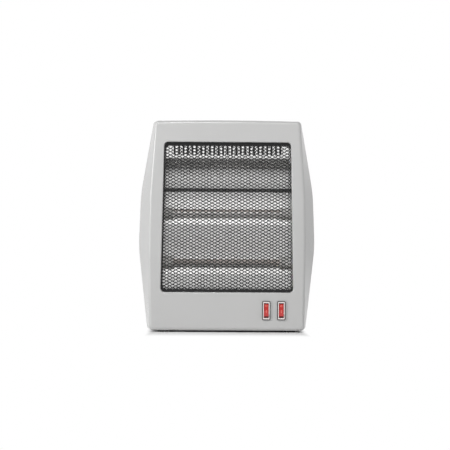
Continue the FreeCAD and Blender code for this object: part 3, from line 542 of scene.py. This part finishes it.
guardSettings = {
    "longPitch": 9.75 * mm,      # diamond's long way, across
    "shortPitch": 5.2 * mm,      # diamond's short way, up
    "strand": 1.6 * mm,
    "sheet": 0.5 * mm,
    "bond": 0.6 * mm,            # flat length where two strands join
    "lean": -8.0,                # twist of the strands out of the sheet, degrees
    "fold": 5.5 * mm,            # side flange folded back
    "flare": 2.0 * mm,           # how far the flange leans out
    "cutSlack": 0.0001 * mm,     # points this near a cut count as on it
    "backFacing": 0.7,           # faces that look back more than this are bare metal
    "rims": {"left": 1.4 * mm, "right": 0.4 * mm, "top": 4.6 * mm, "bottom": 3.6 * mm},
    "rimSetback": 1.2 * mm,      # from the front of the mesh to the plain rim, a black sheet that paints the shade in the gap round the window
    "rimLap": 0.8 * mm,          # part of the rim behind the mesh
    "rimCorner": 6.0 * mm,
    "rimSegments": 6,
}


def guardOutline():
    # the guard's box and its half widths at the bottom and the top, from its CAD solid
    low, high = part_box("mesh_guard")
    band = guardSettings["rimCorner"] * 2
    solid = nodes["mesh_guard"].data.vertices
    lowerHalf = max(v.co.x for v in solid if v.co.z < low.z + band)
    upperHalf = max(v.co.x for v in solid if v.co.z > high.z - band)
    return low, high, lowerHalf, upperHalf


def drawStrands(bm):
    # one zigzag strand is drawn out step by step, then repeated up the guard
    settings = guardSettings
    low, high, lowerHalf, _ = guardOutline()
    lowZ = low.z + settings["rims"]["bottom"]
    highZ = high.z - settings["rims"]["top"]
    lean = math.radians(settings["lean"])
    across = Vector((0, -math.sin(lean), math.cos(lean))) * settings["strand"] / 2
    through = Vector((0, math.cos(lean), math.sin(lean))) * settings["sheet"] / 2
    corners = [across + through, through - across, -across - through, across - through]
    frontmost = min(corner.y for corner in corners)
    reach = lowerHalf + settings["fold"] + settings["longPitch"]
    start = Vector((-reach, low.y - frontmost, lowZ + settings["strand"] / 2))
    face = bm.faces.new([bm.verts.new(start + corner) for corner in corners])
    rise = settings["shortPitch"] / 2
    run = settings["longPitch"] / 2 - settings["bond"]
    moves = [(settings["bond"], 0), (run, rise), (settings["bond"], 0), (run, -rise)]
    for stepX, stepZ in moves * math.ceil(reach * 2 / settings["longPitch"]):
        grown = bmesh.ops.extrude_face_region(bm, geom=[face])["geom"]
        face = [part for part in grown if isinstance(part, bmesh.types.BMFace)][0]
        bmesh.ops.translate(bm, verts=vertsOf(grown), vec=(stepX, 0, stepZ))
    strand = allOf(bm)
    for row in range(1, math.floor((highZ - lowZ - settings["strand"]) / rise)):
        repeat(bm, strand, (settings["longPitch"] / 2 * (row % 2), 0, row * rise))


def guardMesh():
    settings = guardSettings
    rims = settings["rims"]
    low, high, lowerHalf, upperHalf = guardOutline()
    slant = (lowerHalf - upperHalf) / (high.z - low.z)
    folds = {-1: rims["left"] - lowerHalf, 1: lowerHalf - rims["right"] - settings["flare"]}
    bm = bmesh.new()
    drawStrands(bm)
    for side, foldX in folds.items():
        normal = Vector((side, 0, slant)).normalized()
        for distance, clear in ((0, False), (settings["fold"], True)):   # at the fold, then to length
            bmesh.ops.bisect_plane(
                bm, geom=allOf(bm), dist=settings["cutSlack"], clear_outer=clear,
                plane_co=Vector((foldX, 0, low.z)) + normal * distance, plane_no=normal,
            )
    bmesh.ops.recalc_face_normals(bm, faces=bm.faces)
    bm.normal_update()
    for face in bm.faces:
        face.material_index = int(face.normal.y > settings["backFacing"])
    spread = settings["flare"] / settings["fold"]
    for v in bm.verts:
        side = math.copysign(1, v.co.x)
        edge = abs(folds[side]) - slant * (v.co.z - low.z)
        over = abs(v.co.x) - edge
        if over > settings["cutSlack"]:
            v.co.x = side * (edge + over * spread - (v.co.y - low.y))
            v.co.y = low.y + over
    piece = addPiece("guard_mesh", bm, "guard_metal", "case", ["mesh_guard"])
    piece.data.materials.append(finishes["bright_sheet"])
    print("guard mesh faces:", len(piece.data.polygons))


# painted shade: a plain black rim behind the gap between the frame's window and the mesh, where that gap is
# in shade
def guardGapShade():
    settings = guardSettings
    rims = settings["rims"]
    low, high, lowerHalf, upperHalf = guardOutline()
    y = low.y + settings["rimSetback"]
    left = rims["left"] + settings["rimLap"]
    right = rims["right"]
    bottom = low.z + rims["bottom"] + settings["rimLap"]
    top = high.z - rims["top"] - settings["rimLap"]
    outer = [(-lowerHalf, low.z), (lowerHalf, low.z), (upperHalf, high.z), (-upperHalf, high.z)]
    inner = [
        (left - lowerHalf, bottom), (lowerHalf - right, bottom),
        (upperHalf - right, top), (left - upperHalf, top),
    ]
    bm = bmesh.new()
    for corners in (outer, inner):
        verts = [bm.verts.new((x, y, z)) for x, z in corners]
        bm.faces.new(verts)
        roundCorners(bm, verts, settings["rimCorner"], settings["rimSegments"])
    bmesh.ops.delete(bm, geom=bm.faces[:], context="FACES_ONLY")
    bmesh.ops.bridge_loops(bm, edges=bm.edges[:])
    bmesh.ops.recalc_face_normals(bm, faces=bm.faces)
    bmesh.ops.solidify(bm, geom=bm.faces[:], thickness=settings["sheet"])
    bmesh.ops.recalc_face_normals(bm, faces=bm.faces)
    addPiece("guard_gap_shade", bm, "guard_metal", "case")


guardMesh()
guardGapShade()


switchSettings = {
    "bezelRounding": 0.5 * mm,
    "rockerRounding": 0.4 * mm,
    "roundingSegments": 3,
    "roundedAbove": 40.0,        # degrees between two faces
    "flatWithin": 1.0,           # degrees, where neighbouring faces become one
    "weld": 0.001 * mm,
    "dish": 3.8 * mm,            # middle of the rocker's face ahead of its pivot
    "tilt": 8.0,                 # degrees, both of the face's slope and of the rest pose
    "ring": (0.85 * mm, 1.75 * mm),    # inner and outer radius
    "ringAt": 6.9 * mm,          # above the middle of the face
    "ringSegments": 32,
    "bar": (0.95 * mm, 4.4 * mm),
    "barAt": 2.5 * mm,           # below the middle
    "markRaise": 0.1 * mm,       # ahead of the face, and as deep into it
    "gapShade": (13.4 * mm, 31.0 * mm),    # painted shade: dark frame round the bezel, standing in for its shaded gap
    "gapShadeWidth": 1.25 * mm,
    "gapShadeCorner": 2.0 * mm,
    "gapShadeSegments": 5,
    "gapShadeDepth": 1.9 * mm,
    "gapShadeRaise": 0.1 * mm,       # ahead of the bezel's face
}


def softened(name, node, body, slot, rounding):
    # a CAD node's shape with its sharp edges rounded
    settings = switchSettings
    bm = bmesh.new()
    bm.from_mesh(nodes[node].data)
    bmesh.ops.remove_doubles(bm, verts=bm.verts, dist=settings["weld"])
    flat = math.radians(settings["flatWithin"])
    bmesh.ops.dissolve_limit(bm, angle_limit=flat, verts=bm.verts, edges=bm.edges)
    piece = addPiece(name, bm, slot, body, [node])
    edge = piece.modifiers.new("edge", "BEVEL")
    edge.width = rounding
    edge.segments = settings["roundingSegments"]
    edge.limit_method = "ANGLE"
    edge.angle_limit = math.radians(settings["roundedAbove"])


def rockerMarks(side):
    # a ring and a bar, bent and tilted like the rocker's face
    settings = switchSettings
    slope = math.radians(settings["tilt"])
    bm = bmesh.new()
    for radius in settings["ring"]:
        bmesh.ops.create_circle(bm, segments=settings["ringSegments"], radius=radius)
    bmesh.ops.bridge_loops(bm, edges=bm.edges[:])
    bmesh.ops.translate(bm, verts=bm.verts, vec=(0, settings["ringAt"], 0))
    bar = plate(bm, *settings["bar"])
    bmesh.ops.translate(bm, verts=bar, vec=(0, -settings["barAt"], 0))
    bmesh.ops.solidify(bm, geom=bm.faces, thickness=settings["markRaise"] * 2)
    bmesh.ops.transform(bm, verts=bm.verts, matrix=upright)
    front = min(v.co.y for v in bm.verts) + settings["markRaise"]
    for v in bm.verts:
        v.co.y -= front + settings["dish"] + abs(v.co.z) * math.tan(slope)
    pivot = joints[side + "_rocker_hinge"]["pos_m"]
    rest = Matrix.Translation(pivot) @ Matrix.Rotation(-slope, 4, "X")
    bmesh.ops.transform(bm, verts=bm.verts, matrix=rest)
    bmesh.ops.recalc_face_normals(bm, faces=bm.faces)
    marks = addPiece(side + "_rocker_marks", bm, "red_plastic", side + "_rocker")
    marks.data.materials[0] = finishes["rocker_mark"]


def bezelGapShade(side):
    # painted shade: a dark frame that laps over the bezel's rim, standing in for the shaded gap round the
    # bezel
    settings = switchSettings
    low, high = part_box(side + "_switch_body")
    middle = (low + high) / 2
    bm = bmesh.new()
    corners = plate(bm, *settings["gapShade"])
    roundCorners(bm, corners, settings["gapShadeCorner"], settings["gapShadeSegments"])
    bmesh.ops.inset_region(
        bm, faces=bm.faces[:], thickness=settings["gapShadeWidth"], use_boundary=True, use_even_offset=True,
    )
    inner = min(bm.faces, key=lambda face: face.calc_center_median().length)
    bmesh.ops.delete(bm, geom=[inner], context="FACES")
    bmesh.ops.recalc_face_normals(bm, faces=bm.faces)
    bmesh.ops.solidify(bm, geom=bm.faces[:], thickness=settings["gapShadeDepth"])
    bmesh.ops.recalc_face_normals(bm, faces=bm.faces)
    bmesh.ops.transform(bm, verts=bm.verts, matrix=upright)
    front = min(v.co.y for v in bm.verts)
    lift = low.y - settings["gapShadeRaise"] - front
    bmesh.ops.translate(bm, verts=bm.verts, vec=(middle.x, lift, middle.z))
    addPiece(side + "_bezel_gap_shade", bm, "rubber", "case")


for side in ("left", "right"):
    housing = side + "_switch_body"
    rocker = side + "_rocker"
    bezelGapShade(side)
    softened(side + "_bezel", housing, "case", "bezel_plastic", switchSettings["bezelRounding"])
    softened(rocker + "_cap", rocker, rocker, "red_plastic", switchSettings["rockerRounding"])
    rockerMarks(side)
print("switches made")


coilSettings = {
    "spunTurns": 3,
    "doublings": 5,              # each one doubles the turns
    "wire": 0.45 * mm,           # radius of the wire
    "wireSides": 8,
    "radius": 3.0 * mm,          # from the tube's axis to the middle of the wire
    "stepsPerTurn": 18,
    "weld": 0.0225 * mm,
}


def heatingCoil(level):
    settings = coilSettings
    low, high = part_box(level + "_heating_coil")
    middle = (low + high) / 2
    steps = settings["spunTurns"] * settings["stepsPerTurn"]
    length = (high.x - low.x - settings["wire"] * 2) / 2 ** settings["doublings"]
    bm = bmesh.new()
    bmesh.ops.create_circle(bm, segments=settings["wireSides"], radius=settings["wire"])
    start = Matrix.Translation((low.x + settings["wire"], middle.y, middle.z + settings["radius"]))
    bmesh.ops.transform(bm, verts=bm.verts, matrix=start @ upright)
    bmesh.ops.spin(
        bm, geom=bm.verts[:] + bm.edges[:], cent=(0, middle.y, middle.z), axis=(1, 0, 0),
        dvec=(length / steps, 0, 0), angle=math.radians(360) * settings["spunTurns"], steps=steps,
        use_merge=False,
    )
    for doubling in range(settings["doublings"]):
        repeat(bm, allOf(bm), (length * 2 ** doubling, 0, 0))
    bmesh.ops.remove_doubles(bm, verts=bm.verts, dist=settings["weld"])
    bmesh.ops.recalc_face_normals(bm, faces=bm.faces)
    for face in bm.faces:
        face.smooth = True
    addPiece(level + "_coil", bm, "coil_wire", "case", [level + "_heating_coil"])


for level in ("lower", "upper"):
    heatingCoil(level)
print("heating coils wound")


# Stage, lights and camera

stageSettings = {
    "floorHalf": 30.0,             # metres
    "floor": (0.9, 0.9, 0.9, 1.0),
    "floorRoughness": 0.9,
    "shadowHalf": (0.118, 0.062),  # half width and depth of the ground that keeps its shadow
    "shadowFade": (0.014, 0.12),   # and how far from it the floor turns plain white
    "ambient": 0.24,               # strength of the white surroundings as a light
}


def floor():
    settings = stageSettings
    bm = bmesh.new()
    bmesh.ops.create_grid(bm, x_segments=1, y_segments=1, size=settings["floorHalf"])
    mesh = bpy.data.meshes.new("floor")
    bm.to_mesh(mesh)
    bm.free()
    finish = Finish("floor_white")
    finish.set(Base_Color=settings["floor"], Roughness=settings["floorRoughness"], Specular_IOR_Level=0.0)
    reaches = zip(finish.axes(), settings["shadowHalf"], settings["shadowFade"])
    sideways, inDepth = [(abs(axis) - half) / fade for axis, half, fade in reaches]
    plain = finish.ease(sideways.atLeast(inDepth), 0.0, 1.0)
    glow = finish.add("ShaderNodeEmission", None, {"Color": white, "Strength": 1.0})
    lit = Wire(finish, finish.surface.outputs[0])
    both = finish.add("ShaderNodeMixShader", None, {0: finish.seenRays() * plain, 1: lit, 2: glow})
    finish.feed(finish.tree.nodes["Material Output"].inputs["Surface"], both)
    mesh.materials.append(finish.material)
    plane = bpy.data.objects.new("floor", mesh)
    scene.collection.objects.link(plane)


def worldLight():
    ambient = stageSettings["ambient"]
    scene.world = bpy.data.worlds.new("studio")
    graph = Graph(scene.world)
    sky = graph.tree.nodes["Background"].inputs
    graph.feed(sky["Color"], white)
    graph.feed(sky["Strength"], ambient + graph.seenRays() * (1 - ambient))   # plain white to the eye


lampAim = (0.0, 0.0, 0.17)      # middle of the heater
lamps = {
    "key": {"at": (-2.6, -1.4, 0.9), "size": 1.3, "power": 47.0},
    "top": {"at": (-0.4, -2.7, 1.5), "size": 1.8, "power": 7.0},
    "edge": {"at": (-0.2, -1.9, 1.7), "size": 0.45, "power": 15.0},
    "fill": {"at": (2.2, -1.2, 0.7), "size": 1.0, "power": 5.5},
    "front": {"at": (-0.2, -3.6, 0.7), "size": 1.5, "power": 3.5},
}


def lamp(name):
    settings = lamps[name]
    data = bpy.data.lights.new(name, "AREA")
    data.shape = "SQUARE"
    data.size = settings["size"]
    data.energy = settings["power"]
    light = bpy.data.objects.new(name, data)
    light.location = settings["at"]
    aim = Vector(lampAim) - light.location
    light.rotation_euler = aim.to_track_quat("-Z", "Y").to_euler()
    scene.collection.objects.link(light)


cameraSettings = {
    "distance": 3.0,            # metres from the front face
    "yaw": 1.0,                 # degrees to the left of square on
    "roll": 0.35,               # degrees
    "aim": (-0.0038, -0.0617, 0.1745),
    "pixelsPerMetre": 616.0,    # at the front face
    "image": 450.0,             # pixels across
    "sensor": 36.0,
    "clipEnd": 100.0,
}


def camera():
    settings = cameraSettings
    data = bpy.data.cameras.new("camera")
    data.sensor_width = settings["sensor"]
    data.lens = settings["sensor"] * settings["pixelsPerMetre"] * settings["distance"] / settings["image"]
    data.clip_end = settings["clipEnd"]
    cam = bpy.data.objects.new("camera", data)
    yaw = math.radians(settings["yaw"])
    back = Vector((-math.sin(yaw), -math.cos(yaw), 0))
    cam.location = Vector(settings["aim"]) + back * settings["distance"]
    roll = Matrix.Rotation(math.radians(settings["roll"]), 3, "Z").to_quaternion()
    turn = (-back).to_track_quat("-Z", "Y") @ roll
    cam.rotation_euler = turn.to_euler()
    scene.collection.objects.link(cam)
    scene.camera = cam


floor()
worldLight()
for lampName in lamps:
    lamp(lampName)
camera()
scene.view_settings.view_transform = "Standard"
print("stage, lights and camera set")
